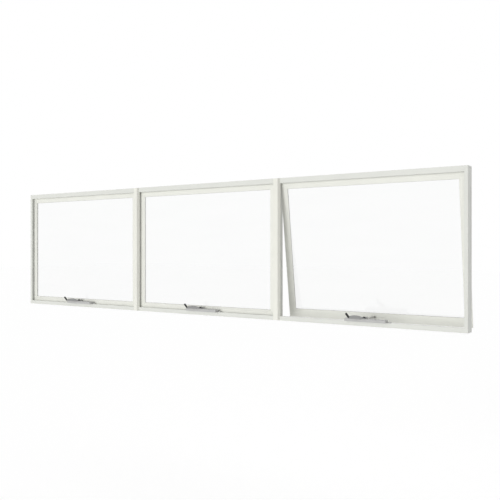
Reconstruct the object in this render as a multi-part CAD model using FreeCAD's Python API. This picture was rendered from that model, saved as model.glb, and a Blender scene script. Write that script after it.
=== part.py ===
import FreeCAD, Part
import math
import os

# Top hung awning window: three equal bays side by side in an aluminium frame,
# seen from the room.  X runs to the right as seen from the room, Y points to
# the outside and Z is up.  The origin is on the flat underside of the sill, in
# the middle of the window's width and of its depth.  Sizes are millimetres.

# overall size of the frame
frame_width = 2410.0
frame_height = 600.0
frame_depth = 46.0
bay_count = 3

# frame extrusions
wall = 1.8
web = 2.0
jamb_face = 13.5
head_face = 21.5
sill_face = 18.5
flange_depth = 10.0
mullion_flange = 29.8
outer_return = 3.0
nose_height = 5.0
slope_rise = 0.6
drip_height = 6.0

# bevelled cover that is clipped round the flange of a mullion on the room side
cover_flat = 20.4
cover_proud = 9.0
cover_wrap = 7.5
cover_wall = 1.4
cover_fit = 0.05
cover_end_gap = 1.5

# gaps between the body of the sash and the flanges of the frame, which its lap hides
jamb_gap = 4.5
mullion_gap = 5.5
top_gap = 3.0
seal_space = 3.0

# sash extrusions
sash_bar = 20.0
bottom_bar = 23.0
sash_depth = 16.0
sash_wall = 1.8
lap_reach = 10.0
bottom_lap_clear = 0.9
lap_thick = 3.0
slope_width = 13.5
slope_depth = 2.6
groove_start = 4.4
groove_width = 7.0
groove_depth = 8.5
outer_lip = 1.8
outer_lip_short = 4.5
outer_bevel = 9.5
open_angle = 7.7

# glass and the rubber on both sides of it
glass_thick = 4.0
glass_edge_gap = 1.5
gasket_cover = 7.0
gasket_show = 0.8
outer_gasket_cover = 6.5

# weather seal between the frame's flange and the lap of the sash
seal_width = 3.5
seal_inset = 0.5
seal_clear = 0.3

# hook hinge along the top rail
hinge_inset = 11.0
hinge_drop = 15.0
bead_radius = 2.5
hinge_clear = 0.3
channel_wall = 2.0
neck_thick = 1.6
mouth_in = 22.0
mouth_out = 62.0
hook_end_gap = 4.0

# fixing and drain holes
fixing_hole = 5.0
fixing_inset = 80.0
fixing_depth = 30.0
drain_length = 30.0
drain_height = 1.4
drain_width = 4.0
drain_spacing = 280.0
drains_per_bay = 3

# chain winder on the sill of each bay
winder_left = 80.0
winder_right = 93.0
winder_front = 18.0
winder_back = 10.0
winder_height = 11.5
winder_corner = 3.5
winder_edge = 2.0
ear_length = 14.0
ear_height = 3.6
ear_depth = 9.0
hub_front = 8.0
hump_radius = 11.0
hump_tip_radius = 7.0
hump_length = 44.0
hump_height = 0.8
hump_edge = 0.5
slot_width = 12.0
slot_height = 12.0
guide_width = 20.0
guide_height = 6.5
guide_depth = 10.0

# folding crank and its knob
spindle_radius = 4.0
spindle_clear = 0.05
spindle_depth = 4.0
crank_hub_radius = 6.5
crank_hub_height = 2.6
crank_clear = 0.4
crank_reach = 59.0
crank_turn = 43.5
crank_rise = 13.0
crank_tip_height = 9.0
crank_arch = 0.8
crank_crest = 0.6
knob_foot = 3.0
crank_arm_wide = 11.0
crank_arm_narrow = 7.0
cap_radius = 4.6
cap_height = 5.0
knob_length = 24.0
knob_radius = 4.3
knob_neck = 2.6
knob_taper = 6.0
knob_lean = 35.0

# push chain between the winder and the sash
link_count = 6
plate_thick = 1.1
plate_radius = 3.6
roller_radius = 2.7
roller_height = 4.2
roller_sides = 12
rivet_radius = 1.3
chain_rise = 7.5
bracket_width = 20.0
bracket_height = 11.0
bracket_rise = 1.5
bracket_thick = 2.0
bracket_corner = 2.0
lug_width = 7.0
lug_reach = 6.5
lug_plate = 1.4
lug_play = 0.2

# values that follow from the ones above
room_face = -frame_depth / 2.0
sash_inner = room_face + flange_depth + seal_space
pivot_y = sash_inner + hinge_inset
pivot_z = frame_height - hinge_drop
cover_half = mullion_flange / 2.0 + cover_fit + cover_wall
mullion_reach = cover_half + mullion_gap
jamb_reach = jamb_face + jamb_gap
sash_width = (frame_width - 2.0 * jamb_reach - 2.0 * (bay_count - 1) * mullion_reach) / bay_count
sash_bottom = sill_face
bottom_lap = sill_face - nose_height - slope_rise - bottom_lap_clear
sash_top = frame_height - head_face - top_gap
winder_top = sill_face + winder_height
hub_y = room_face - hub_front
chain_height = sill_face + chain_rise
bracket_foot = sash_bottom + bracket_rise
slot_bottom = chain_height - slot_height / 2.0
slot_top = chain_height + slot_height / 2.0
bay_names = ["left", "middle", "right"]


def vec(x, y, z):
    return FreeCAD.Vector(x, y, z)


def save(name, shape):
    shape.exportStep("parts/" + name + ".step")


def sash_left_edge(bay):
    return -frame_width / 2.0 + jamb_reach + bay * (sash_width + 2.0 * mullion_reach)


def bay_centre(bay):
    return sash_left_edge(bay) + sash_width / 2.0


def mullion_centre(number):
    return sash_left_edge(number) + sash_width + mullion_reach


def ring_wire(points, start, u_axis, v_axis):
    corners = [start + u_axis * u + v_axis * v for u, v in points]
    return Part.makePolygon(corners + corners[:1])


def extrusion(outline, chambers, start, u_axis, v_axis, run):
    # a drawn profile with hollow chambers, pushed along its run
    outer = Part.Face(ring_wire(outline, start, u_axis, v_axis)).extrude(run)
    for chamber in chambers:
        outer = outer.cut(Part.Face(ring_wire(chamber, start, u_axis, v_axis)).extrude(run))
    return outer


def rectangle(u0, v0, u1, v1):
    return [(u0, v0), (u1, v0), (u1, v1), (u0, v1)]


def box(x0, y0, z0, x1, y1, z1):
    return Part.makeBox(x1 - x0, y1 - y0, z1 - z0, vec(x0, y0, z0))


def swing(shape, bay):
    # only the right sash stands open, turned outwards about its hinge line
    turned = shape.copy()
    if bay == bay_count - 1:
        turned.rotate(vec(0, pivot_y, pivot_z), vec(1, 0, 0), open_angle)
    return turned


# frame members


def jamb_outline():
    back = frame_depth
    flange = [(0, 0), (jamb_face, 0), (jamb_face, flange_depth), (web, flange_depth)]
    outside = [(web, back - web), (web + outer_return, back - web), (web + outer_return, back), (0, back)]
    return flange + outside


def jamb(side, hollow=True):
    start = vec(side * frame_width / 2.0, room_face, 0)
    inward = vec(-side, 0, 0)
    chambers = [rectangle(wall, wall, jamb_face - wall, flange_depth - wall)] if hollow else []
    shape = extrusion(jamb_outline(), chambers, start, inward, vec(0, 1, 0), vec(0, 0, frame_height))
    if not hollow:
        return shape
    for height in (fixing_inset, frame_height - fixing_inset):
        outside = vec(side * (frame_width / 2.0 + 1.0), room_face + fixing_depth, height)
        shape = shape.cut(Part.makeCylinder(fixing_hole / 2.0, 2.0 * web + 2.0, outside, inward))
    return shape


def mullion(number, hollow=True):
    # wide hollow flange on the room side and one plain web that parts the two bays
    start = vec(mullion_centre(number), room_face, 0)
    half = mullion_flange / 2.0
    right = [(half, 0), (half, flange_depth), (web, flange_depth), (web, frame_depth)]
    outline = right + [(-u, v) for u, v in reversed(right)]
    inner = half - wall
    chambers = [rectangle(-inner, wall, inner, flange_depth - wall)] if hollow else []
    return extrusion(outline, chambers, start, vec(1, 0, 0), vec(0, 1, 0), vec(0, 0, frame_height))


def cover_outline(shrink):
    # half widths and depths of the cover, or of its hollow when shrunk by its wall
    flat = cover_flat / 2.0 - 0.4 * shrink
    side = cover_half - shrink
    front = -cover_proud + shrink
    shoulder = 0.4 * shrink
    right = [(flat, front), (side, shoulder), (side, cover_wrap)]
    return right + [(-u, v) for u, v in reversed(right)]


def mullion_cover(number, hollow=True):
    end = cover_end_gap if hollow else 0.0
    start = vec(mullion_centre(number), room_face, end)
    run = vec(0, 0, frame_height - 2.0 * end)
    chambers = []
    if hollow:
        inside = cover_outline(cover_wall)
        edge = cover_half - cover_wall
        chambers = [inside, rectangle(-edge, 0, edge, cover_wrap + 1.0)]
    return extrusion(cover_outline(0.0), chambers, start, vec(1, 0, 0), vec(0, 1, 0), run)


def bay_limits(bay):
    # webs of the two uprights that stand beside a bay
    left = -frame_width / 2.0 + web
    right = frame_width / 2.0 - web
    if bay > 0:
        left = mullion_centre(bay - 1) + web
    if bay < bay_count - 1:
        right = mullion_centre(bay) - web
    return left, right


def upright(bay, side):
    # filled outline of the jamb, or of the mullion and its cover, beside a bay
    if side < 0 and bay == 0 or side > 0 and bay == bay_count - 1:
        return jamb(side, hollow=False)
    number = bay - 1 if side < 0 else bay
    return mullion(number, hollow=False).fuse(mullion_cover(number, hollow=False))


def cope(shape, bay):
    # the crosswise members are cut to the shape of the uprights they meet
    return shape.cut(upright(bay, -1)).cut(upright(bay, 1))


def hinge_channel(left, run):
    # round channel that hangs from the head; the sash's bead turns inside it
    pivot = vec(left, pivot_y, pivot_z)
    along = vec(1, 0, 0)
    inner = bead_radius + hinge_clear
    outer = inner + channel_wall
    stem = box(left, pivot_y - web / 2.0, pivot_z, left + run, pivot_y + web / 2.0, frame_height - web)
    body = Part.makeCylinder(outer, run, pivot, along).fuse(stem)
    body = body.cut(Part.makeCylinder(inner, run, pivot, along))
    reach = 2.0 * outer
    low_in = math.radians(-90.0 - mouth_in)
    low_out = math.radians(-90.0 + mouth_out)
    mouth = [
        (0, 0),
        (reach * math.cos(low_in), reach * math.sin(low_in)),
        (reach * math.cos(low_out), reach * math.sin(low_out)),
    ]
    wedge = extrusion(mouth, [], pivot, vec(0, 1, 0), vec(0, 0, 1), vec(run, 0, 0))
    return body.cut(wedge)


def head(bay):
    left, right = bay_limits(bay)
    run = vec(right - left, 0, 0)
    start = vec(left, room_face, frame_height)
    outline = [(0, 0), (0, -head_face), (flange_depth, -head_face), (flange_depth, -web)]
    outline = outline + [(frame_depth - web, -web), (frame_depth - web, -drip_height)]
    outline = outline + [(frame_depth, -drip_height), (frame_depth, 0)]
    chamber = rectangle(wall, -head_face + wall, flange_depth - wall, -wall)
    shape = extrusion(outline, [chamber], start, vec(0, 1, 0), vec(0, 0, 1), run)
    shape = shape.fuse(hinge_channel(left, right - left))
    return cope(shape, bay).removeSplitter()


def drain_positions(bay):
    first = bay_centre(bay) - drain_spacing * (drains_per_bay - 1) / 2.0
    return [first + drain_spacing * i for i in range(drains_per_bay)]


def sill(bay):
    left, right = bay_limits(bay)
    run = vec(right - left, 0, 0)
    start = vec(left, room_face, 0)
    high = nose_height + slope_rise
    outline = [(0, 0), (frame_depth, 0), (frame_depth, nose_height), (flange_depth, high)]
    outline = outline + [(flange_depth, sill_face), (0, sill_face)]
    flange_chamber = rectangle(wall, wall, flange_depth - wall, sill_face - wall)
    back = frame_depth - wall
    slope_chamber = [(flange_depth, wall), (back, wall)]
    slope_chamber = slope_chamber + [(back, nose_height - wall), (flange_depth, high - wall)]
    shape = extrusion(outline, [flange_chamber, slope_chamber], start, vec(0, 1, 0), vec(0, 0, 1), run)
    for x in drain_positions(bay):
        half = drain_length / 2.0
        nose_y = room_face + frame_depth
        slot = box(x - half, nose_y - 2.0 * wall, wall, x + half, nose_y + 1.0, wall + drain_height)
        well_y = sash_inner + wall
        well = box(x - half, well_y, high / 2.0, x + half, well_y + drain_width, high + 1.0)
        shape = shape.cut(slot).cut(well)
    return cope(shape, bay)


def flange_edges(bay):
    # edges of the two upright flanges that the seal of a bay sits on
    left = -frame_width / 2.0 + jamb_face
    right = frame_width / 2.0 - jamb_face
    if bay > 0:
        left = mullion_centre(bay - 1) + mullion_flange / 2.0
    if bay < bay_count - 1:
        right = mullion_centre(bay) - mullion_flange / 2.0
    return left, right


def weather_seals():
    # one rubber ring in each bay, seated on the back of the flanges
    front = room_face + flange_depth
    back = sash_inner - seal_clear
    rings = []
    for bay in range(bay_count):
        left, right = flange_edges(bay)
        far = seal_inset + seal_width
        low = sill_face
        high = frame_height - head_face
        outer = box(left - far, front, low - far, right + far, back, high + far)
        near = seal_inset
        inner = box(left - near, front - 1.0, low - near, right + near, back + 1.0, high + near)
        rings.append(outer.cut(inner))
    return Part.makeCompound(rings)


# sash members


def sash_outline(bar, lap):
    # from the lap's edge along the room face to the glass, and back along the outside
    base = bar - groove_depth
    groove_end = groove_start + groove_width
    short = bar - outer_lip_short
    room = [(-lap, 0), (bar - slope_width, 0), (bar, slope_depth), (bar, groove_start)]
    groove = [(base, groove_start), (base, groove_end), (short, groove_end), (short, groove_end + outer_lip)]
    outside = [(bar - outer_bevel, sash_depth), (0, sash_depth), (0, lap_thick), (-lap, lap_thick)]
    return room + groove + outside


def sash_chamber(bar):
    edge = bar - groove_depth - sash_wall
    return rectangle(sash_wall, sash_wall + slope_depth / 3.0, edge, sash_depth - sash_wall)


def mitre_block(bay, side):
    # wedge of the sash rectangle that belongs to one of its four bars
    x0 = sash_left_edge(bay)
    x1 = x0 + sash_width
    z0 = sash_bottom
    z1 = sash_top
    lap = lap_reach
    outer = {"sw": (x0 - lap, z0 - bottom_lap), "se": (x1 + lap, z0 - bottom_lap)}
    outer.update({"nw": (x0 - lap, z1 + lap), "ne": (x1 + lap, z1 + lap)})
    west = x0 + sash_bar
    east = x1 - sash_bar
    inner = {"sw": (west, z0 + bottom_bar), "se": (east, z0 + bottom_bar)}
    inner.update({"nw": (west, z1 - sash_bar), "ne": (east, z1 - sash_bar)})
    ends = {"bottom": ("sw", "se"), "top": ("nw", "ne"), "left": ("sw", "nw"), "right": ("se", "ne")}
    first, second = ends[side]
    corners = [outer[first], outer[second], inner[second], inner[first]]
    start = vec(0, sash_inner - 1.0, 0)
    run = vec(0, sash_depth + 2.0, 0)
    return extrusion(corners, [], start, vec(1, 0, 0), vec(0, 0, 1), run)


def sash_bar_shape(bay, side):
    x0 = sash_left_edge(bay)
    x1 = x0 + sash_width
    lap = lap_reach
    bar = bottom_bar if side == "bottom" else sash_bar
    width = bottom_lap if side == "bottom" else lap
    out = vec(0, 1, 0)
    if side in ("left", "right"):
        x = x0 if side == "left" else x1
        inward = vec(1 if side == "left" else -1, 0, 0)
        start = vec(x, sash_inner, sash_bottom - bottom_lap)
        run = vec(0, 0, sash_top - sash_bottom + bottom_lap + lap)
    else:
        z = sash_bottom if side == "bottom" else sash_top
        inward = vec(0, 0, 1 if side == "bottom" else -1)
        start = vec(x0 - lap, sash_inner, z)
        run = vec(x1 - x0 + 2.0 * lap, 0, 0)
    shape = extrusion(sash_outline(bar, width), [sash_chamber(bar)], start, inward, out, run)
    return shape.common(mitre_block(bay, side))


def hook(bay):
    # round bead on a thin neck that stands up from the top rail
    x0 = sash_left_edge(bay) + hook_end_gap
    run = sash_width - 2.0 * hook_end_gap
    bead = Part.makeCylinder(bead_radius, run, vec(x0, pivot_y, pivot_z), vec(1, 0, 0))
    half = neck_thick / 2.0
    neck = box(x0, pivot_y - half, sash_top, x0 + run, pivot_y + half, pivot_z)
    return bead.fuse(neck)


def sash_member(bay, side):
    shape = sash_bar_shape(bay, side)
    if side == "top":
        shape = shape.fuse(hook(bay)).removeSplitter()
    return swing(shape, bay)


def sight_box(bay, out, y0, y1):
    # the sash's clear opening grown by out on every side
    x0 = sash_left_edge(bay) + sash_bar - out
    x1 = sash_left_edge(bay) + sash_width - sash_bar + out
    return box(x0, y0, sash_bottom + bottom_bar - out, x1, y1, sash_top - sash_bar + out)


def pane_face():
    return sash_inner + groove_start + (groove_width - glass_thick) / 2.0


def glass(bay):
    out = groove_depth - glass_edge_gap
    return swing(sight_box(bay, out, pane_face(), pane_face() + glass_thick), bay)


def gasket_ring(bay, cover, clear, y0, y1):
    return sight_box(bay, cover, y0, y1).cut(sight_box(bay, clear, y0 - 1.0, y1 + 1.0))


def glazing_gasket(bay):
    front = sash_inner + groove_start
    back = front + groove_width
    inner = gasket_ring(bay, gasket_cover, -gasket_show, front, pane_face())
    outer_show = outer_lip_short - gasket_show
    outer = gasket_ring(bay, outer_gasket_cover, outer_show, pane_face() + glass_thick, back)
    return swing(Part.makeCompound([inner, outer]), bay)


# chain winder


def rounded_block(x0, y0, x1, y1, z0, z1, radius):
    block = box(x0, y0, z0, x1, y1, z1)
    upright = [e for e in block.Edges if abs(e.Vertexes[0].Z - e.Vertexes[1].Z) > 1.0]
    return block.makeFillet(radius, upright)


def soften_top(shape, height, radius):
    edges = [e for e in shape.Edges if all(abs(v.Z - height) < 0.01 for v in e.Vertexes)]
    return shape.makeChamfer(radius, edges)


def tapered_hump(cx, cy, base, top):
    # two rounds of different size joined along their common tangents
    run = hump_length
    lean = math.asin((hump_radius - hump_tip_radius) / run)
    sin_l = math.sin(lean)
    cos_l = math.cos(lean)
    big = hump_radius
    small = hump_tip_radius
    flank = [
        (cx + big * sin_l, cy + big * cos_l),
        (cx + run + small * sin_l, cy + small * cos_l),
        (cx + run + small * sin_l, cy - small * cos_l),
        (cx + big * sin_l, cy - big * cos_l),
    ]
    height = top - base
    web_shape = extrusion(flank, [], vec(0, 0, base), vec(1, 0, 0), vec(0, 1, 0), vec(0, 0, height))
    shape = web_shape.fuse(Part.makeCylinder(big, height, vec(cx, cy, base)))
    shape = shape.fuse(Part.makeCylinder(small, height, vec(cx + run, cy, base))).removeSplitter()
    return soften_top(shape, top, hump_edge)


def winder_body(bay):
    cx = bay_centre(bay)
    x0 = cx - winder_left
    x1 = cx + winder_right
    y0 = room_face - winder_front
    y1 = room_face + winder_back
    shape = rounded_block(x0, y0, x1, y1, sill_face, winder_top, winder_corner)
    shape = soften_top(shape, winder_top, winder_edge)
    ear = box(x1 - winder_corner, y1 - ear_depth, sill_face, x1 + ear_length, y1, sill_face + ear_height)
    shape = shape.fuse(ear)
    hump_top = winder_top + hump_height
    shape = shape.fuse(tapered_hump(cx, hub_y, winder_top - 1.0, hump_top))
    guide_half = guide_width / 2.0
    guide_y = y1 - guide_depth
    guide_top = winder_top + guide_height
    shape = shape.fuse(box(cx - guide_half, guide_y, winder_top - 1.0, cx + guide_half, y1, guide_top))
    half = slot_width / 2.0
    shape = shape.cut(box(cx - half, guide_y + wall, slot_bottom, cx + half, y1 + 1.0, slot_top))
    foot = winder_top - spindle_depth
    depth = spindle_depth + hump_height + 1.0
    shape = shape.cut(Part.makeCylinder(spindle_radius + spindle_clear, depth, vec(cx, hub_y, foot)))
    return shape.removeSplitter()


def crank_levels():
    low = winder_top + hump_height + crank_clear
    return low, low + crank_hub_height


def turn_crank(shape, bay):
    # all cranks are folded to the left and stand out into the room
    shape.rotate(vec(bay_centre(bay), hub_y, 0), vec(0, 0, 1), crank_turn)
    return shape


def crank_arm(cx, cy, low):
    # arched arm: its side view and its tapering plan view are cut from one another
    tip = -crank_reach - crank_arm_narrow / 2.0
    middle = -crank_crest * crank_reach
    hub_edge = vec(0, 0, crank_hub_height)
    tip_edge = vec(tip, 0, crank_tip_height)
    side = Part.Wire([
        Part.Arc(vec(0, 0, 0), vec(middle, 0, crank_arch), vec(tip, 0, 0)).toShape(),
        Part.makeLine(vec(tip, 0, 0), tip_edge),
        Part.Arc(tip_edge, vec(middle, 0, crank_rise), hub_edge).toShape(),
        Part.makeLine(hub_edge, vec(0, 0, 0)),
    ])
    wide = crank_arm_wide / 2.0
    narrow = crank_arm_narrow / 2.0
    bar = Part.Face(side).extrude(vec(0, crank_arm_wide, 0))
    bar.translate(vec(0, -wide, 0))
    plan = [(0, -wide), (0, wide), (-crank_reach, narrow), (tip, narrow / 2.0)]
    plan = plan + [(tip, -narrow / 2.0), (-crank_reach, -narrow)]
    outline = extrusion(plan, [], vec(0, 0, -1.0), vec(1, 0, 0), vec(0, 1, 0), vec(0, 0, crank_rise + 2.0))
    arm = bar.common(outline)
    arm.translate(vec(cx, cy, low))
    return arm


def crank(bay):
    cx = bay_centre(bay)
    cy = hub_y
    low, high = crank_levels()
    hub = Part.makeCylinder(crank_hub_radius, high - low, vec(cx, cy, low))
    foot = winder_top - spindle_depth
    spindle = Part.makeCylinder(spindle_radius, low - foot, vec(cx, cy, foot))
    # the arm stays clear of the round cap that sits on the hub
    room = Part.makeCylinder(crank_hub_radius, crank_rise, vec(cx, cy, high))
    arm = crank_arm(cx, cy, low).cut(room)
    return turn_crank(hub.fuse(spindle).fuse(arm).removeSplitter(), bay)


def knob_and_cap(bay):
    # turned knob leaning away from the hub, and the round black cap on the hub
    cx = bay_centre(bay)
    cy = hub_y
    low, high = crank_levels()
    profile = [
        vec(0, 0, 0),
        vec(knob_neck, 0, 0),
        vec(knob_radius, 0, knob_taper),
        vec(knob_radius, 0, knob_length),
        vec(0, 0, knob_length),
        vec(0, 0, 0),
    ]
    knob = Part.Face(Part.makePolygon(profile)).revolve(vec(0, 0, 0), vec(0, 0, 1), 360)
    knob.rotate(vec(0, 0, 0), vec(0, 1, 0), -knob_lean)
    knob.translate(vec(cx - crank_reach, cy, low + knob_foot))
    # the arm's end fills part of the knob's foot
    knob = turn_crank(knob, bay)
    knob = max(knob.cut(crank(bay)).Solids, key=lambda solid: solid.Volume)
    cap = Part.makeCylinder(cap_radius, cap_height, vec(cx, cy, high))
    return Part.makeCompound([knob, cap])


# chain and the bracket it pushes on


def chain_pin(bay):
    # eye of the bracket lug, with the sash shut or as it stands
    cx = bay_centre(bay)
    shut = Part.Vertex(cx, sash_inner - lug_reach, chain_height)
    return swing(shut, bay).Point


def sash_bracket(bay):
    # screwed plate with two lugs, one above and one below the end of the chain
    cx = bay_centre(bay)
    half = bracket_width / 2.0
    front = sash_inner - bracket_thick
    shape = box(cx - half, front, bracket_foot, cx + half, sash_inner, bracket_foot + bracket_height)
    corners = [e for e in shape.Edges if abs(e.Vertexes[0].Y - e.Vertexes[1].Y) > 1.0]
    shape = shape.makeChamfer(bracket_corner, corners)
    eye_y = sash_inner - lug_reach
    round_end = lug_width / 2.0
    low = chain_height - link_height() / 2.0 - lug_play
    high = chain_height + link_height() / 2.0 + lug_play
    for z in (low - lug_plate, high):
        corner = 0.4 * round_end
        plan = [(round_end, 1.0), (round_end, lug_reach), (corner, lug_reach + round_end)]
        plan = plan + [(-u, v) for u, v in reversed(plan)]
        start = vec(cx, sash_inner, z)
        lug = extrusion(plan, [], start, vec(1, 0, 0), vec(0, -1, 0), vec(0, 0, lug_plate))
        shape = shape.fuse(lug)
    foot = low - lug_plate
    pin = Part.makeCylinder(rivet_radius, high + lug_plate - foot, vec(cx, eye_y, foot))
    return swing(shape.fuse(pin).removeSplitter(), bay)


def link_height():
    return roller_height + 2.0 * plate_thick


def link_plate(y0, y1, z):
    # flat plate whose ends are cut to half an octagon about each pin
    r = plate_radius
    corner = r * math.tan(math.radians(22.5))
    plan = [(r, y0 - corner), (r, y1 + corner), (corner, y1 + r)]
    plan = plan + [(-u, v) for u, v in reversed(plan)]
    plan = plan + [(-corner, y0 - r), (corner, y0 - r)]
    return extrusion(plan, [], vec(0, 0, z), vec(1, 0, 0), vec(0, 1, 0), vec(0, 0, plate_thick))


def roller(y, half):
    # many sided roller on an upright pin
    turns = [2.0 * math.pi * i / roller_sides for i in range(roller_sides)]
    plan = [(roller_radius * math.cos(t), roller_radius * math.sin(t)) for t in turns]
    return extrusion(plan, [], vec(0, y, -half), vec(1, 0, 0), vec(0, 1, 0), vec(0, 0, 2.0 * half))


def push_chain(bay):
    # rollers between upright pins, held by narrow and wide pairs of plates in turn
    near = vec(bay_centre(bay), sash_inner - lug_reach, chain_height)
    far = chain_pin(bay)
    pitch = (far - near).Length / link_count
    half = roller_height / 2.0
    shape = roller(0, half)
    for i in range(link_count):
        y = i * pitch
        wide_pair = (link_count - 1 - i) % 2 == 1
        level = half + plate_thick if wide_pair else half
        shape = shape.fuse(link_plate(y, y + pitch, level))
        shape = shape.fuse(link_plate(y, y + pitch, -level - plate_thick))
        shape = shape.fuse(roller(y + pitch, half))
        if wide_pair:
            shape = shape.fuse(roller(y, level))
    shape = shape.removeSplitter()
    shape.rotate(vec(0, 0, 0), vec(1, 0, 0), math.degrees(math.atan2(far.z - near.z, far.y - near.y)))
    shape.translate(near)
    drill = Part.makeCylinder(rivet_radius, 4.0 * roller_height, far - vec(0, 0, 2.0 * roller_height))
    return shape.cut(drill)


def build():
    os.makedirs("parts", exist_ok=True)
    save("left_jamb", jamb(-1))
    save("right_jamb", jamb(1))
    for number in range(bay_count - 1):
        save(bay_names[2 * number] + "_mullion", mullion(number))
        save(bay_names[2 * number] + "_mullion_cover", mullion_cover(number))
    save("weather_seals", weather_seals())
    for bay, name in enumerate(bay_names):
        save(name + "_head", head(bay))
        save(name + "_sill", sill(bay))
        save(name + "_sash_top_rail", sash_member(bay, "top"))
        save(name + "_sash_bottom_rail", sash_member(bay, "bottom"))
        save(name + "_sash_left_stile", sash_member(bay, "left"))
        save(name + "_sash_right_stile", sash_member(bay, "right"))
        save(name + "_glass", glass(bay))
        save(name + "_glazing_gasket", glazing_gasket(bay))
        save(name + "_winder_body", winder_body(bay))
        save(name + "_winder_crank", crank(bay))
        save(name + "_winder_knob_and_cap", knob_and_cap(bay))
        save(name + "_sash_bracket", sash_bracket(bay))
    save("right_push_chain", push_chain(bay_count - 1))


build()
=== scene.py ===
import math

import bmesh
import bpy
import numpy as np
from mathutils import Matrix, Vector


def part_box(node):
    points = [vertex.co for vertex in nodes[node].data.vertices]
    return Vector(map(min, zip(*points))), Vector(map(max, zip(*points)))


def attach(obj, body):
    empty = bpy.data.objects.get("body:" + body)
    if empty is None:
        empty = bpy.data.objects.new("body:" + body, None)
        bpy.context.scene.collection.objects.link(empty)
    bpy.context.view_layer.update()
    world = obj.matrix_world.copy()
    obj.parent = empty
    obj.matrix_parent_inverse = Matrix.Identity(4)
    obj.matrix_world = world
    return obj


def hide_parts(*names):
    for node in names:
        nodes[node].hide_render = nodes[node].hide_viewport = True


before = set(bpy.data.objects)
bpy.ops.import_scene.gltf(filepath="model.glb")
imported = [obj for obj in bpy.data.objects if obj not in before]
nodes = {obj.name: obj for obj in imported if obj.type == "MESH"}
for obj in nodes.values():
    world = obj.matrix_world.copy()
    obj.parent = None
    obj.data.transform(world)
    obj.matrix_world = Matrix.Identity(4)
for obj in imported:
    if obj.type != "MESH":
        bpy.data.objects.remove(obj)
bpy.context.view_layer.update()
bays = ["left", "middle", "right"]
millimetre = 0.001
print("frame loaded:", len(nodes), "nodes")


def corners(name):
    # lowest and highest corner of a node, in millimetres
    return [np.round(np.array(corner) / millimetre, 3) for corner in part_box(name)]


# small helpers for materials

def newMaterial(name):
    material = bpy.data.materials.new(name)
    material.use_nodes = True
    tree = material.node_tree
    shader = tree.nodes["Principled BSDF"]
    return material, tree, shader


def objectNoise(tree, scale, detail=3.0, stretch=(1, 1, 1)):
    # noise on the piece's own coordinates, in metres
    coords = tree.nodes.new("ShaderNodeTexCoord")
    mapping = tree.nodes.new("ShaderNodeMapping")
    mapping.inputs["Scale"].default_value = stretch
    noise = tree.nodes.new("ShaderNodeTexNoise")
    noise.inputs["Scale"].default_value = scale
    noise.inputs["Detail"].default_value = detail
    tree.links.new(coords.outputs["Object"], mapping.inputs["Vector"])
    tree.links.new(mapping.outputs["Vector"], noise.inputs["Vector"])
    return noise.outputs["Fac"]


def ramp(tree, value, low, high):
    # two tones that swap over the middle of the noise
    node = tree.nodes.new("ShaderNodeValToRGB")
    node.color_ramp.elements[0].position = 0.3
    node.color_ramp.elements[1].position = 0.7
    node.color_ramp.elements[0].color = low
    node.color_ramp.elements[1].color = high
    tree.links.new(value, node.inputs["Fac"])
    return node.outputs["Color"]


bumpDepth = {"paint": 0.0004, "rubber": 0.0003, "steel": 0.0002, "glass": 0.0004}  # metres


def bump(tree, shader, height, strength, distance):
    node = tree.nodes.new("ShaderNodeBump")
    node.inputs["Strength"].default_value = strength
    node.inputs["Distance"].default_value = distance
    tree.links.new(height, node.inputs["Height"])
    tree.links.new(node.outputs["Normal"], shader.inputs["Normal"])


def tint(colour, factor):
    return (colour[0] * factor, colour[1] * factor, colour[2] * factor, 1.0)


# the scales are in waves per metre: a mottle of some centimetres and an orange peel of about 1 mm
framePaintLook = {"colour": (0.735, 0.745, 0.700), "mottleScale": 9.0, "darkest": 0.965,
                  "roughness": 0.45, "peelScale": 900.0, "peel": 0.16}
sashPaintLook = {"colour": (0.820, 0.825, 0.765), "mottleScale": 11.0, "darkest": 0.965,
                 "roughness": 0.45, "peelScale": 900.0, "peel": 0.16}
coverPaintLook = {"colour": (0.835, 0.835, 0.765), "mottleScale": 8.0, "darkest": 0.965,
                  "roughness": 0.45, "peelScale": 800.0, "peel": 0.16}
winderPaintLook = {"colour": (0.50, 0.50, 0.49), "mottleScale": 60.0, "darkest": 0.965,
                   "roughness": 0.40, "peelScale": 1500.0, "peel": 0.18}
crankPaintLook = {"colour": (0.35, 0.35, 0.345), "mottleScale": 70.0, "darkest": 0.965,
                  "roughness": 0.40, "peelScale": 1500.0, "peel": 0.18}
rubberGrain = {"toneScale": 140.0, "darkest": 0.85, "lightest": 1.1,
               "poreScale": 2200.0, "pores": 0.12}
gasketLook = {"colour": (0.50, 0.50, 0.49), "roughness": 0.75}
sealLook = {"colour": (0.16, 0.16, 0.155), "roughness": 0.8}
plasticLook = {"colour": (0.012, 0.012, 0.012), "roughness": 0.45}
steelLook = {"colour": (0.66, 0.66, 0.64), "roughness": 0.38, "darkest": 0.85, "lightest": 1.1,
             "lineScale": 400.0, "lineStretch": (1.0, 0.12, 1.0), "lines": 0.05}
# the glass's lighter streaked tone is a painted reflection, not a tint of the glass itself
glassLook = {"clear": (0.962, 0.966, 0.964), "reflectionStreak": (0.972, 0.975, 0.973),
             "shade": 0.10, "refraction": 1.45,
             "reflectionStreakScale": 3.0, "reflectionStreakStretch": (1.0, 1.0, 6.0), "waveScale": 1.4, "waves": 0.02}


def powderCoat(name, look):
    # baked powder: faint mottling of tone and a fine orange peel
    material, tree, shader = newMaterial(name)
    colour = look["colour"]
    tone = objectNoise(tree, look["mottleScale"])
    mottle = ramp(tree, tone, tint(colour, look["darkest"]), tint(colour, 1.0))
    tree.links.new(mottle, shader.inputs["Base Color"])
    shader.inputs["Roughness"].default_value = look["roughness"]
    bump(tree, shader, objectNoise(tree, look["peelScale"], 2.0), look["peel"], bumpDepth["paint"])
    return material


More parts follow.
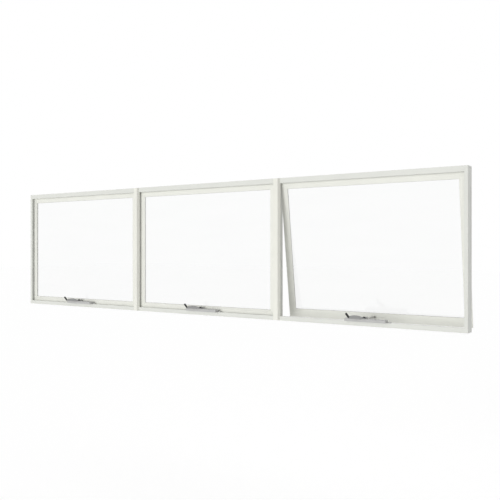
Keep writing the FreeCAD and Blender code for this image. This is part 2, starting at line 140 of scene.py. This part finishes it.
def rubber(name, look):
    # matt rubber or moulded plastic with fine pores
    material, tree, shader = newMaterial(name)
    colour, grain = look["colour"], rubberGrain
    tone = objectNoise(tree, grain["toneScale"])
    shades = ramp(tree, tone, tint(colour, grain["darkest"]), tint(colour, grain["lightest"]))
    tree.links.new(shades, shader.inputs["Base Color"])
    shader.inputs["Roughness"].default_value = look["roughness"]
    bump(tree, shader, objectNoise(tree, grain["poreScale"], 2.0), grain["pores"], bumpDepth["rubber"])
    return material


def steel(name, look):
    # zinc plate with faint drawn lines along the depth
    material, tree, shader = newMaterial(name)
    colour = look["colour"]
    tone = objectNoise(tree, look["lineScale"], 4.0, look["lineStretch"])
    shades = ramp(tree, tone, tint(colour, look["darkest"]), tint(colour, look["lightest"]))
    tree.links.new(shades, shader.inputs["Base Color"])
    shader.inputs["Metallic"].default_value = 1.0
    shader.inputs["Roughness"].default_value = look["roughness"]
    bump(tree, shader, tone, look["lines"], bumpDepth["steel"])
    return material


def clearGlass(name, look):
    # painted reflection: faint lighter streaks in the pane's tone stand in for the studio reflected in
    # the glass
    material, tree, shader = newMaterial(name)
    # painted reflection: noise that lays lighter streaks over the pane's colour
    paintedReflection = objectNoise(tree, look["reflectionStreakScale"], 2.0, look["reflectionStreakStretch"])
    tone = ramp(tree, paintedReflection, tint(look["clear"], 1.0), tint(look["reflectionStreak"], 1.0))
    tree.links.new(tone, shader.inputs["Base Color"])
    shader.inputs["Transmission Weight"].default_value = 1.0
    shader.inputs["Roughness"].default_value = 0.0
    shader.inputs["IOR"].default_value = look["refraction"]
    # lamplight passes the pane: for rays that look for a lamp it holds back only the shade's share
    path = tree.nodes.new("ShaderNodeLightPath")
    body = tree.nodes.new("ShaderNodeMapRange")
    body.inputs["To Min"].default_value = 1.0
    body.inputs["To Max"].default_value = look["shade"]
    tree.links.new(path.outputs["Is Shadow Ray"], body.inputs["Value"])
    tree.links.new(body.outputs["Result"], shader.inputs["Alpha"])
    bump(tree, shader, objectNoise(tree, look["waveScale"], 1.0), look["waves"], bumpDepth["glass"])
    return material


framePaint = powderCoat("frame powder coat", framePaintLook)
sashPaint = powderCoat("sash powder coat", sashPaintLook)
coverPaint = powderCoat("mullion cover powder coat", coverPaintLook)
winderPaint = powderCoat("winder paint", winderPaintLook)
crankPaint = powderCoat("crank paint", crankPaintLook)
gasketRubber = rubber("glazing rubber", gasketLook)
sealRubber = rubber("weather seal rubber", sealLook)
blackPlastic = rubber("black plastic", plasticLook)
platedSteel = steel("plated steel", steelLook)
glassMaterial = clearGlass("clear float glass", glassLook)

finishes = [
    (("_jamb", "_mullion", "_head", "_sill"), framePaint),
    (("_mullion_cover",), coverPaint),
    (("_rail", "_stile"), sashPaint),
    (("_glass",), glassMaterial),
    (("_gasket",), gasketRubber),
    (("weather_seals",), sealRubber),
    (("_winder_body",), winderPaint),
    (("_winder_crank",), crankPaint),
    (("_knob_and_cap",), blackPlastic),
    (("_sash_bracket", "_push_chain"), platedSteel),
]
for name in nodes:
    for endings, finish in finishes:
        if name.endswith(endings):
            nodes[name].data.materials.clear()
            nodes[name].data.materials.append(finish)
print("finishes given")


# what counts as an edge, and its radius in millimetres by the kind of node
edgeShape = {"join": 0.005, "segments": 2, "angle": 38.0}
edgeRadius = [
    (("_mullion_cover",), 0.50),
    (("_jamb", "_mullion", "_head", "_sill", "_rail", "_stile"), 0.30),
    (("_winder_body",), 0.45),
    (("_winder_crank",), 0.60),
    (("_sash_bracket",), 0.25),
]


def softenEdges(node, radius):
    # the mesh of a solid is loose triangles, so it is joined before its edges are rounded
    weld = node.modifiers.new("join", "WELD")
    weld.merge_threshold = edgeShape["join"] * millimetre
    bevel = node.modifiers.new("round edges", "BEVEL")
    bevel.width = radius * millimetre
    bevel.segments = edgeShape["segments"]
    bevel.limit_method = "ANGLE"
    bevel.angle_limit = math.radians(edgeShape["angle"])


for name in nodes:
    for endings, radius in edgeRadius:
        if name.endswith(endings):
            softenEdges(nodes[name], radius)
print("edges softened")


# pieces worked out with numpy, in millimetres until they become a mesh
onAxis = np.array([0.0, 0.0, 1.0])  # brings a row of points together on the upright axis


def gridFaces(rows, columns, closeRows):
    # four-cornered faces between neighbouring points of a grid whose columns close round
    steps = rows if closeRows else rows - 1
    i, j = np.meshgrid(np.arange(steps), np.arange(columns), indexing="ij")
    i, j = i.ravel(), j.ravel()
    i2, j2 = (i + 1) % rows, (j + 1) % columns
    quads = [i * columns + j, i * columns + j2, i2 * columns + j2, i2 * columns + j]
    return np.stack(quads, axis=1)


def addPiece(name, grids, material, nodeName="", sharp=35.0):
    # each grid is a shell of rows x columns x 3, with a flag for rows that close too
    points, faces, count = [], [], 0
    for grid, closeRows in grids:
        rows, columns = grid.shape[:2]
        points.append(grid.reshape(-1, 3))
        faces.append(gridFaces(rows, columns, closeRows) + count)
        count += rows * columns
    mesh = bpy.data.meshes.new(name)
    places = np.concatenate(points) * millimetre
    mesh.from_pydata(places.tolist(), [], np.concatenate(faces).tolist())
    build = bmesh.new()
    build.from_mesh(mesh)
    bmesh.ops.remove_doubles(build, verts=build.verts, dist=1e-6)  # closes poles and seams
    bmesh.ops.recalc_face_normals(build, faces=build.faces)
    build.to_mesh(mesh)
    build.free()
    mesh.polygons.foreach_set("use_smooth", np.ones(len(mesh.polygons), dtype=bool))
    mesh.set_sharp_from_angle(angle=math.radians(sharp))
    mesh.materials.append(material)
    piece = bpy.data.objects.new(name, mesh)
    bpy.context.scene.collection.objects.link(piece)
    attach(piece, "root")
    if nodeName:
        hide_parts(nodeName)


def fullTurn(steps):
    # one row of angles once round
    return np.linspace(0.0, 2.0 * np.pi, steps, endpoint=False)[None, :]


def turned(profile, steps):
    # a profile of (radius, height) pairs turned about the upright axis
    angle = fullTurn(steps)
    radius, height = profile[:, :1], profile[:, 1:]
    return np.stack([radius * np.cos(angle), radius * np.sin(angle), height + 0.0 * angle], axis=-1)


def mitredRing(section, x0, z0, x1, z1):
    # a section of (outward, y) pairs carried round a rectangle: at each corner the outward
    # distance is added to x and to z, with the signs of that corner, which mitres it
    out, y = section[None, :, 0], section[None, :, 1]
    corner = np.array([[x0, z0, -1, -1], [x1, z0, 1, -1], [x1, z1, 1, 1], [x0, z1, -1, 1]])
    x = corner[:, 0:1] + corner[:, 2:3] * out
    z = corner[:, 1:2] + corner[:, 3:4] * out
    return np.stack([x, y + 0.0 * x, z], axis=-1)


def roundedBar(out0, out1, y0, y1, radius):
    # rectangle whose corners are quarter circles, counted through the four quadrants
    steps = 6
    quarter = np.linspace(0.0, np.pi / 2.0, steps)
    angle = (quarter[None, :] + np.arange(4)[:, None] * np.pi / 2.0).ravel()
    side = np.repeat(np.array([[1, 1], [-1, 1], [-1, -1], [1, -1]]), steps, axis=0)
    out = (out0 + out1) / 2.0 + side[:, 0] * ((out1 - out0) / 2.0 - radius) + radius * np.cos(angle)
    y = (y0 + y1) / 2.0 + side[:, 1] * ((y1 - y0) / 2.0 - radius) + radius * np.sin(angle)
    return np.stack([out, y], axis=1)


# the hinge line of every sash, the one that stands open, and the daylight opening of each pane
sashPlace = {"pivotY": 1.0, "pivotZ": 585.0, "openBay": "right", "openAngle": 7.7,
             "sight": corners("middle_sash_right_stile")[0][0],
             "low": corners("middle_sash_bottom_rail")[1][2],
             "high": corners("middle_sash_top_rail")[0][2]}
bayCentre = {bay: np.mean(corners(bay + "_sash_top_rail"), axis=0)[0] for bay in bays}


def hang(grid, bay):
    # what sits on the open sash is turned with it about its hinge line along X
    if bay != sashPlace["openBay"]:
        return grid
    angle = math.radians(sashPlace["openAngle"])
    y = grid[..., 1] - sashPlace["pivotY"]
    z = grid[..., 2] - sashPlace["pivotZ"]
    openY = sashPlace["pivotY"] + y * math.cos(angle) - z * math.sin(angle)
    openZ = sashPlace["pivotZ"] + y * math.sin(angle) + z * math.cos(angle)
    return np.stack([grid[..., 0], openY, openZ], axis=-1)


# how far the inner lip shows, where the outer one starts and ends under the sash, and their radius
gasketShape = {"innerShow": 0.8, "outerFrom": 3.7, "outerTo": 6.5, "lip": 0.7}


def glazingLips(bay):
    # rounded rubber lips on both faces of the pane, mitred at the corners
    look, sight = gasketShape, sashPlace["sight"]
    x0, x1 = bayCentre[bay] - sight, bayCentre[bay] + sight
    pane, rubberBand = corners("middle_glass"), corners("middle_glazing_gasket")
    cover = pane[1][0] - sight  # how far the pane runs into the sash
    inner = roundedBar(-look["innerShow"], cover, rubberBand[0][1], pane[0][1], look["lip"])
    outer = roundedBar(look["outerFrom"], look["outerTo"], pane[1][1], rubberBand[1][1], look["lip"])
    rings = [mitredRing(s, x0, sashPlace["low"], x1, sashPlace["high"]) for s in (inner, outer)]
    grids = [(hang(ring, bay), True) for ring in rings]
    addPiece(bay + "_glazing_lips", grids, gasketRubber, bay + "_glazing_gasket")


# how far the seal lies behind the frame's edge, thickness of its foot and radius of its bulb
sealShape = {"near": 0.5, "foot": 0.7, "bulb": 1.45}


def bulbSeals():
    # flat foot with a round bulb on it: the bulb is a circle cut off by the foot's face
    seals = corners("weather_seals")
    low, high = corners("middle_sill")[1][2], corners("middle_head")[0][2]
    near, far, bulb = sealShape["near"], low - seals[0][2], sealShape["bulb"]
    front, centre = seals[0][1], seals[1][1] - bulb
    face = front + sealShape["foot"]
    start = math.asin((face - centre) / bulb)
    angle = np.linspace(start, math.pi - start, 17)
    arc = np.stack([(near + far) / 2.0 + bulb * np.cos(angle), centre + bulb * np.sin(angle)], axis=1)
    foot = np.array([[near, face], [near, front], [far, front], [far, face]])
    section = np.concatenate([arc, foot])
    # one ring between each pair of uprights
    uprights = [corners(name) for name in ("left_jamb", "left_mullion", "right_mullion", "right_jamb")]
    rings = []
    for left, right in zip(uprights, uprights[1:]):
        rings.append((mitredRing(section, left[1][0], low, right[0][0], high), True))
    addPiece("bulb_weather_seals", rings, sealRubber, "weather_seals")


# where the knob stands on the folded arm, its own sizes, and the cap with its dish as
# steps inwards and down; the end and the flutes are given as shares of the length
knobShape = {"reach": 59.0, "turn": 43.5, "lean": 35.0, "hubY": -31.0, "foot": 34.2,
             "length": 24.0, "neck": 2.6, "taper": 6.0, "radius": 4.3, "waist": 0.35, "endFrom": 0.88,
             "flutes": 12, "fluteDepth": 0.38, "fluteFrom": 0.24, "fluteRise": 0.08, "fluteFall": 0.06,
             "capRadius": 4.6, "capFoot": 33.8, "capTop": 38.8, "rim": 0.7,
             "dish": [(1.4, 0.0), (1.8, 0.35), (3.2, 0.42), (4.6, 0.45)]}


def knobAndCap(bay):
    look = knobShape
    # knob radius along its length: an s-curve from the neck, a slight waist and a round end,
    # less a cosine wave round it for the flutes, which fade out towards both ends
    tip = 1.0 - 0.10 * np.cos(np.linspace(0.15, 1.0, 9) * np.pi / 2.0)  # rows crowd towards the end
    rows = np.concatenate([np.linspace(0.0, 0.90, 22), tip])[:, None]
    angle = fullTurn(6 * look["flutes"])
    tapered, endFrom = look["taper"] / look["length"], look["endFrom"]
    rise = np.clip(rows / tapered, 0.0, 1.0)
    body = look["neck"] + (look["radius"] - look["neck"]) * (3.0 * rise**2 - 2.0 * rise**3)
    grip = np.clip((rows - tapered) / (1.0 - tapered), 0.0, 1.0)
    body = body - look["waist"] * np.sin(np.pi * grip) ** 2
    end = np.clip(rows - endFrom, 0.0, 1.0) / (1.0 - endFrom)
    dome = np.sqrt(np.clip(1.0 - end**2, 0.0, 1.0))
    fade = np.clip((rows - look["fluteFrom"]) / look["fluteRise"], 0.0, 1.0)
    fade = fade * np.clip((endFrom - rows) / look["fluteFall"], 0.0, 1.0)
    wave = (0.5 + 0.5 * np.cos(look["flutes"] * angle)) ** 2
    radius = (body - look["fluteDepth"] * fade * wave) * dome
    along = rows * look["length"] + 0.0 * angle
    knob = np.stack([radius * np.cos(angle), radius * np.sin(angle), along], axis=-1)
    knob = np.concatenate([knob[:1] * onAxis, knob])
    # lean it away from the hub, carry it out to the arm's end and turn it with the arm
    lean = math.radians(look["lean"])
    x = knob[..., 0] * math.cos(lean) - knob[..., 2] * math.sin(lean) - look["reach"]
    z = knob[..., 0] * math.sin(lean) + knob[..., 2] * math.cos(lean) + look["foot"]
    turn = math.radians(look["turn"])
    knobX = bayCentre[bay] + x * math.cos(turn) - knob[..., 1] * math.sin(turn)
    knobY = look["hubY"] + x * math.sin(turn) + knob[..., 1] * math.cos(turn)
    # cap: straight side, rounded rim and a shallow dish in the top
    r, low, top, rim = look["capRadius"], look["capFoot"], look["capTop"], look["rim"]
    bend = np.linspace(0.0, np.pi / 2.0, 7)
    edge = np.stack([r - rim + rim * np.cos(bend), top - rim + rim * np.sin(bend)], axis=1)
    dish = [[r - inward, top - down] for inward, down in look["dish"]]
    profile = np.concatenate([[[0.0, low], [r, low]], edge, dish])
    cap = turned(profile, 48) + np.array([bayCentre[bay], look["hubY"], 0.0])
    grids = [(np.stack([knobX, knobY, z], axis=-1), False), (cap, False)]
    node = bay + "_winder_knob_and_cap"
    addPiece(bay + "_fluted_knob_and_cap", grids, blackPlastic, node, 50.0)


# the chain runs from the winder's guide to the bracket, given as (y, z) of its first and last pin
chainShape = {"links": 6, "start": (-16.5, 26.0), "end": (58.6, 28.7), "pin": 3.6, "waist": 0.24,
              "thick": 1.1, "half": 2.1, "roller": 2.7, "chamfer": 0.3, "rivet": 1.5, "head": 0.4}


def linkPlate(y0, y1, z0, look):
    # outline: half circles about both pins, joined by sides that draw in by a sine's square
    r = look["pin"]
    near = np.linspace(np.pi, 2.0 * np.pi, 13)
    far = np.linspace(0.0, np.pi, 13)
    side = np.linspace(0.0, 1.0, 9)[1:-1]
    width = r * (1.0 - look["waist"] * np.sin(np.pi * side) ** 2)
    outline = np.concatenate([
        np.stack([r * np.cos(near), y0 + r * np.sin(near)], axis=1),
        np.stack([width, y0 + (y1 - y0) * side], axis=1),
        np.stack([r * np.cos(far), y1 + r * np.sin(far)], axis=1),
        np.stack([-width, y1 - (y1 - y0) * side], axis=1)])
    spine = np.stack([0.0 * outline[:, 0], np.clip(outline[:, 1], y0, y1)], axis=1)
    # rows from the spine over the softened edge and back to the spine
    share = np.array([0.0, 0.92, 1.0, 1.0, 0.92, 0.0])[:, None, None]
    level = z0 + look["thick"] * np.array([0.0, 0.0, 0.2, 0.8, 1.0, 1.0])[:, None, None]
    flat = spine[None] + share * (outline - spine)[None]
    return np.concatenate([flat, level + 0.0 * flat[..., :1]], axis=-1)


def pushChain():
    # laid out straight along y with a roller at each pin and a pair of plates to each link,
    # by turns outside and inside, then sloped and moved to its place
    look = chainShape
    run = np.array(look["end"]) - np.array(look["start"])
    pitch = np.hypot(*run) / look["links"]
    r, h, c = look["roller"], look["half"], look["chamfer"]
    roller = turned(np.array([[0, -h], [r - c, -h], [r, c - h], [r, h - c], [r - c, h], [0, h]]), 24)
    grids = [roller + np.array([0.0, pin * pitch, 0.0]) for pin in range(look["links"] + 1)]
    for link in range(look["links"]):
        level = h + (look["thick"] if link % 2 == 0 else 0.0)
        for z0 in (level, -level - look["thick"]):
            grids.append(linkPlate(link * pitch, (link + 1) * pitch, z0, look))
        # domed rivet heads above and below the outer plates
        top = h + 2.0 * look["thick"]
        bend = np.linspace(0.0, np.pi / 2.0, 5)
        head = np.stack([look["rivet"] * np.cos(bend), top + look["head"] * np.sin(bend)], axis=1)
        pin = np.concatenate([head[::-1] * np.array([1.0, -1.0]), head])
        grids.append(turned(pin, 20) + np.array([0.0, link * pitch, 0.0]))
    slope = math.atan2(run[1], run[0])
    laid = []
    for grid in grids:
        x = bayCentre[sashPlace["openBay"]] + grid[..., 0]
        y = look["start"][0] + grid[..., 1] * math.cos(slope) - grid[..., 2] * math.sin(slope)
        z = look["start"][1] + grid[..., 1] * math.sin(slope) + grid[..., 2] * math.cos(slope)
        laid.append((np.stack([x, y, z], axis=-1), False))
    addPiece("right_riveted_push_chain", laid, platedSteel, "right_push_chain")


# sizes of the ear's screw, and the bracket's as a share of it; the cross is given in radii
screwShape = {"earX": 100.5, "earY": -17.5, "earTop": 22.1, "radius": 3.2, "height": 1.4,
              "crossHalf": 0.15, "crossReach": 0.60, "crossDepth": 0.62,
              "plateX": 6.9, "plateZ": 25.5, "plateFace": -12.0, "small": 0.6}


def screwHead(look):
    # height over the disc: a flattened dome, less a cross whose arms fade at their edges
    radius, height = look["radius"], look["height"]
    ring = np.concatenate([np.linspace(0.0, 0.86, 22), np.linspace(0.90, 1.0, 5)])[:, None]
    angle = fullTurn(96)
    x, y = ring * np.cos(angle), ring * np.sin(angle)
    dome = height * (1.0 - ring**3.2) ** 0.6 * np.ones_like(angle)
    across = np.minimum(np.abs(x), np.abs(y))
    along = np.maximum(np.abs(x), np.abs(y))
    cross = np.clip((look["crossHalf"] - across) / 0.05, 0.0, 1.0)
    cross = cross * np.clip((look["crossReach"] - along) / 0.08, 0.0, 1.0)
    top = np.stack([radius * x, radius * y, dome - look["crossDepth"] * height * cross], axis=-1)
    return np.concatenate([top, top[-1:] * onAxis])


def fixings(bay):
    # screw on the winder's ear, and two on the plate that the chain pushes on
    look = screwShape
    head = screwHead(look)
    ear = head + np.array([bayCentre[bay] + look["earX"], look["earY"], look["earTop"]])
    small = head * look["small"]
    facing = np.stack([small[..., 0], -small[..., 2], small[..., 1]], axis=-1)
    grids = [(ear, False)]
    for side in (-1.0, 1.0):
        place = np.array([bayCentre[bay] + side * look["plateX"], look["plateFace"], look["plateZ"]])
        grids.append((hang(facing + place, bay), False))
    addPiece(bay + "_fixing_screws", grids, platedSteel, sharp=28.0)


for bay in bays:
    glazingLips(bay)
    knobAndCap(bay)
    fixings(bay)
bulbSeals()
pushChain()
print("rubber, knobs, chain and screws made")


# room, light and camera

def whiteForCamera(tree):
    # 1 for the eye, mirrors and rays through glass, 0 for all other light
    path = tree.nodes.new("ShaderNodeLightPath")
    first = tree.nodes.new("ShaderNodeMath")
    first.operation = "ADD"
    second = tree.nodes.new("ShaderNodeMath")
    second.operation = "ADD"
    second.use_clamp = True
    tree.links.new(path.outputs["Is Camera Ray"], first.inputs[0])
    tree.links.new(path.outputs["Is Glossy Ray"], first.inputs[1])
    tree.links.new(first.outputs[0], second.inputs[0])
    tree.links.new(path.outputs["Is Transmission Ray"], second.inputs[1])
    return second.outputs[0]


worldLook = {"strength": 0.45}
world = bpy.data.worlds.new("studio")
bpy.context.scene.world = world
world.use_nodes = True
tree = world.node_tree
background = tree.nodes["Background"]
background.inputs["Color"].default_value = (1, 1, 1, 1)
background.inputs["Strength"].default_value = worldLook["strength"]
white = tree.nodes.new("ShaderNodeBackground")
white.inputs["Color"].default_value = (1, 1, 1, 1)
white.inputs["Strength"].default_value = 1.0
mix = tree.nodes.new("ShaderNodeMixShader")
tree.links.new(whiteForCamera(tree), mix.inputs["Fac"])
tree.links.new(background.outputs[0], mix.inputs[1])
tree.links.new(white.outputs[0], mix.inputs[2])
tree.links.new(mix.outputs[0], tree.nodes["World Output"].inputs["Surface"])

# the floor takes the window's shadow and is lifted to white for the eye
floorLook = {"height": -1.0, "half": 40.0, "colour": (0.9, 0.9, 0.9, 1), "roughness": 0.9,
             "lift": 0.425, "bounce": 0.26}
h = floorLook["half"]
low = floorLook["height"]
floorMesh = bpy.data.meshes.new("floor")
floorMesh.from_pydata([(-h, -h, low), (h, -h, low), (h, h, low), (-h, h, low)], [], [(0, 1, 2, 3)])
floor = bpy.data.objects.new("floor", floorMesh)
bpy.context.scene.collection.objects.link(floor)
floorMaterial, tree, shader = newMaterial("pale floor")
shader.inputs["Base Color"].default_value = floorLook["colour"]
shader.inputs["Roughness"].default_value = floorLook["roughness"]
shader.inputs["Specular IOR Level"].default_value = 0.0
eyeGlow = tree.nodes.new("ShaderNodeMapRange")
eyeGlow.inputs["To Min"].default_value = floorLook["bounce"]
eyeGlow.inputs["To Max"].default_value = floorLook["lift"]
tree.links.new(whiteForCamera(tree), eyeGlow.inputs["Value"])
glow = tree.nodes.new("ShaderNodeEmission")
tree.links.new(eyeGlow.outputs["Result"], glow.inputs["Strength"])
addShader = tree.nodes.new("ShaderNodeAddShader")
tree.links.new(shader.outputs[0], addShader.inputs[0])
tree.links.new(glow.outputs[0], addShader.inputs[1])
tree.links.new(addShader.outputs[0], tree.nodes["Material Output"].inputs["Surface"])
floorMesh.materials.append(floorMaterial)
floor.visible_shadow = False  # low light passes it


# direction that the light comes from, strength, and width of its disc in degrees
lampLooks = {
    "key": {"from": (-0.38, -1.0, 0.08), "strength": 1.34, "spread": 40.0},
    "side fill": {"from": (-1.0, 0.45, 0.05), "strength": 0.55, "spread": 50.0},
    "top fill": {"from": (0.0, -0.10, 1.0), "strength": 0.35, "spread": 60.0},
}
lampAway = 5.0  # metres from the origin, for the eye alone: only the direction counts


def sunLight(name, look):
    # even light from far away whose disc is so wide that its shadows have soft edges
    data = bpy.data.lights.new(name, "SUN")
    data.energy = look["strength"]
    data.angle = math.radians(look["spread"])
    lamp = bpy.data.objects.new(name, data)
    bpy.context.scene.collection.objects.link(lamp)
    x, y, z = look["from"]
    slope = math.atan2(math.hypot(x, y), z)
    lamp.rotation_euler = (slope, 0.0, math.atan2(x, -y))
    lamp.location = (x * lampAway, y * lampAway, z * lampAway)
    lamp.visible_glossy = False
    lamp.visible_transmission = False


for name, look in lampLooks.items():
    sunLight(name, look)

# level with the window's middle, from the right side of the room
cameraLook = {"lens": 48.9, "sensor": 36.0, "yaw": 34.16, "place": (1.9206, -2.4595, 0.300),
              "shiftY": -0.0014}
cameraData = bpy.data.cameras.new("camera")
cameraData.lens = cameraLook["lens"]
cameraData.sensor_width = cameraLook["sensor"]
cameraData.shift_y = cameraLook["shiftY"]
camera = bpy.data.objects.new("camera", cameraData)
bpy.context.scene.collection.objects.link(camera)
camera.location = cameraLook["place"]
camera.rotation_euler = (math.radians(90.0), 0.0, math.radians(cameraLook["yaw"]))
bpy.context.scene.camera = camera
bpy.context.scene.view_settings.view_transform = "Standard"
print("light and camera set")
